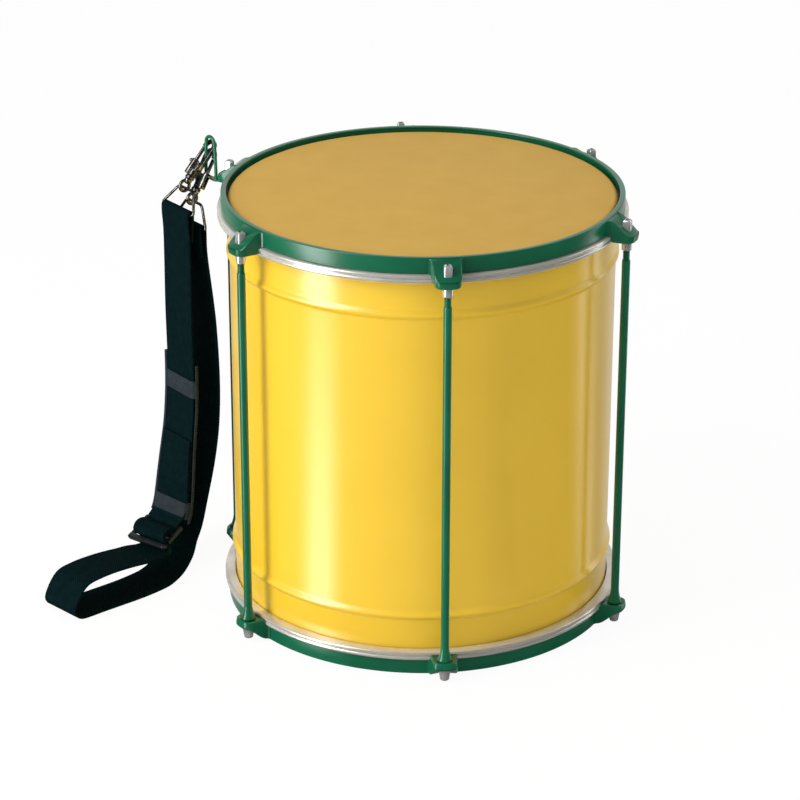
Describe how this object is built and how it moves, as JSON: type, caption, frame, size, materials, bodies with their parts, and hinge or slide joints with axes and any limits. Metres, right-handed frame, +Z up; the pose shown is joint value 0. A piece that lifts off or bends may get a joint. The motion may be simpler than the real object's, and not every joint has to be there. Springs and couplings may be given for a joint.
{
  "type": "repinique drum",
  "caption": "Tall metal hand drum with film heads on both ends, eared hoops drawn together by long rods, and a padded carrying sling on snap hooks.",
  "frame": {"origin": "on the drum's axis, in the plane that the lower hoop rests on, 3.2 mm below the centre of the resonant head", "axes": "+Z up along the drum's axis towards the batter head, -Y towards the viewer of the picture, the sling on the -X side"},
  "size_m": [0.4683, 0.3538, 0.362],
  "materials": {
    "shell_enamel": "glossy enamel",
    "hoop_enamel": "glossy enamel",
    "head_film": "satin film",
    "hoop_aluminium": "rolled",
    "plated_steel": "polished",
    "nickel_plate": "polished",
    "webbing": "woven",
    "pad_fabric": "woven over foam",
    "elastic": "knitted",
    "moulded_plastic": "moulded"
  },
  "bodies": {
    "drum": {"shell": "shell_enamel", "batter_head": "head_film", "resonant_head": "head_film", "batter_flesh_hoop": "hoop_aluminium", "resonant_flesh_hoop": "hoop_aluminium", "batter_hoop": "hoop_enamel", "resonant_hoop": "hoop_enamel", "sling_bracket": "hoop_enamel", "washer_1": "plated_steel", "washer_2": "plated_steel", "washer_3": "plated_steel", "washer_4": "plated_steel", "washer_5": "plated_steel", "washer_6": "plated_steel", "ferrule_1": "plated_steel", "ferrule_2": "plated_steel", "ferrule_3": "plated_steel", "ferrule_4": "plated_steel", "ferrule_5": "plated_steel", "ferrule_6": "plated_steel", "tension_rod_1": "hoop_enamel", "tension_rod_2": "hoop_enamel", "tension_rod_3": "hoop_enamel", "tension_rod_4": "hoop_enamel", "tension_rod_5": "hoop_enamel", "tension_rod_6": "hoop_enamel", "bottom_nut_1": "plated_steel", "bottom_nut_2": "plated_steel", "bottom_nut_3": "plated_steel", "bottom_nut_4": "plated_steel", "bottom_nut_5": "plated_steel", "bottom_nut_6": "plated_steel"},
    "key_bolt_1": {"key_bolt_1": "plated_steel"},
    "key_bolt_2": {"key_bolt_2": "plated_steel"},
    "key_bolt_3": {"key_bolt_3": "plated_steel"},
    "key_bolt_4": {"key_bolt_4": "plated_steel"},
    "key_bolt_5": {"key_bolt_5": "plated_steel"},
    "key_bolt_6": {"key_bolt_6": "plated_steel"},
    "sling": {"front_webbing": "webbing", "main_webbing": "webbing", "shoulder_pad": "pad_fabric", "pad_band_top": "elastic", "pad_band_bottom": "elastic", "slider_buckle": "moulded_plastic", "sling_ring_a": "nickel_plate", "sling_ring_b": "nickel_plate", "snap_swivel_a": "nickel_plate", "snap_swivel_b": "nickel_plate"},
    "snap_a": {"snap_hook_a": "nickel_plate"},
    "snap_b": {"snap_hook_b": "nickel_plate"},
    "slide_a": {"snap_bolt_a": "nickel_plate"},
    "slide_b": {"snap_bolt_b": "nickel_plate"}
  },
  "joints": [
    {"name": "key_bolt_turn_1", "type": "hinge", "parent": "drum", "child": "key_bolt_1", "pos_m": [0.01863, -0.16877, 0.333], "axis": [0, 0, 1], "continuous": true},
    {"name": "key_bolt_turn_2", "type": "hinge", "parent": "drum", "child": "key_bolt_2", "pos_m": [0.15548, -0.06825, 0.333], "axis": [0, 0, 1], "continuous": true},
    {"name": "key_bolt_turn_3", "type": "hinge", "parent": "drum", "child": "key_bolt_3", "pos_m": [0.13685, 0.10052, 0.333], "axis": [0, 0, 1], "continuous": true},
    {"name": "key_bolt_turn_4", "type": "hinge", "parent": "drum", "child": "key_bolt_4", "pos_m": [-0.01863, 0.16877, 0.333], "axis": [0, 0, 1], "continuous": true},
    {"name": "key_bolt_turn_5", "type": "hinge", "parent": "drum", "child": "key_bolt_5", "pos_m": [-0.15548, 0.06825, 0.333], "axis": [0, 0, 1], "continuous": true},
    {"name": "key_bolt_turn_6", "type": "hinge", "parent": "drum", "child": "key_bolt_6", "pos_m": [-0.13685, -0.10052, 0.333], "axis": [0, 0, 1], "continuous": true},
    {"name": "sling_swing", "type": "hinge", "parent": "drum", "child": "sling", "pos_m": [-0.17523, 0.08044, 0.338], "axis": [-0.6157, 0.788, 0], "range_deg": [0, 50]},
    {"name": "snap_turn_a", "type": "hinge", "parent": "sling", "child": "snap_a", "pos_m": [-0.17356, 0.0783, 0.3485], "axis": [0.5273, 0.412, 0.7431], "range_deg": [-6, 6]},
    {"name": "snap_turn_b", "type": "hinge", "parent": "sling", "child": "snap_b", "pos_m": [-0.17285, 0.07942, 0.34017], "axis": [0.394, 0.3078, 0.866], "range_deg": [-6, 6]},
    {"name": "bolt_slide_a", "type": "slide", "parent": "snap_a", "child": "slide_a", "axis": [-0.5273, -0.412, -0.7431], "range_m": [0, 0.008], "stiffness_N_per_m": 120, "springref_m": -0.004},
    {"name": "bolt_slide_b", "type": "slide", "parent": "snap_b", "child": "slide_b", "axis": [-0.394, -0.3078, -0.866], "range_m": [0, 0.008], "stiffness_N_per_m": 120, "springref_m": -0.004}
  ]
}
